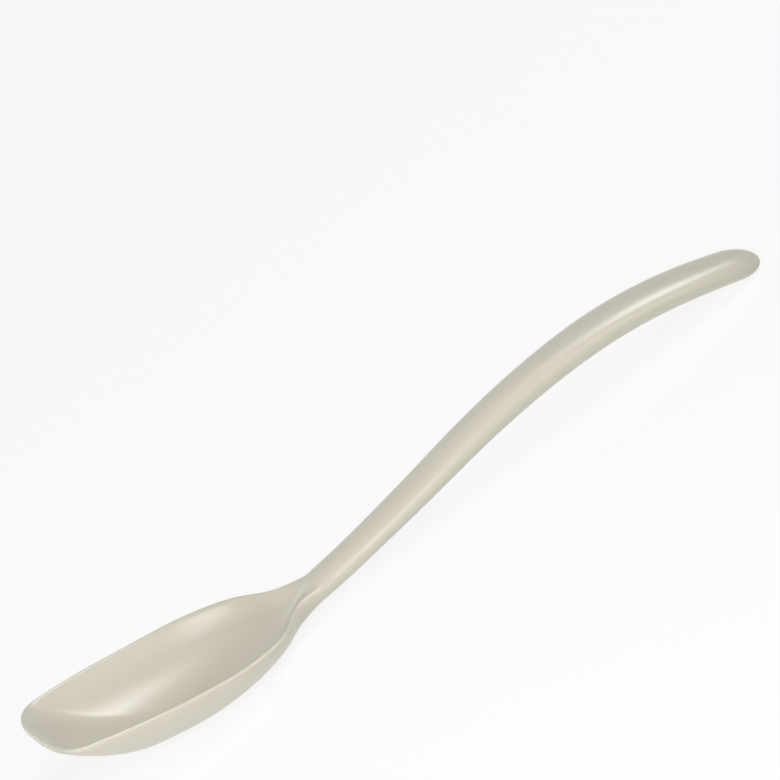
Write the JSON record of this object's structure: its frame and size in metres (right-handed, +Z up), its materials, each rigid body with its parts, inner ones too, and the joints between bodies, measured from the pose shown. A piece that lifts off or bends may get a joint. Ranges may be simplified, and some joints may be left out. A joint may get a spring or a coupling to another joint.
{
  "type": "cooking spoon",
  "caption": "Moulded cooking spoon with a deep, square-nosed bowl, a slim neck and a long arched handle, for stirring, scooping and serving.",
  "frame": {"origin": "middle of the box that holds the spoon, on the table that it rests on", "axes": "+X from the nose of the bowl towards the end of the handle, +Z up from the table, with the bowl open upwards"},
  "size_m": [0.3003, 0.0548, 0.0304],
  "materials": {
    "moulding": "satin moulded melamine, warm beige"
  },
  "bodies": {
    "root": {"bowl": "moulding", "neck": "moulding", "handle": "moulding"}
  },
  "joints": []
}
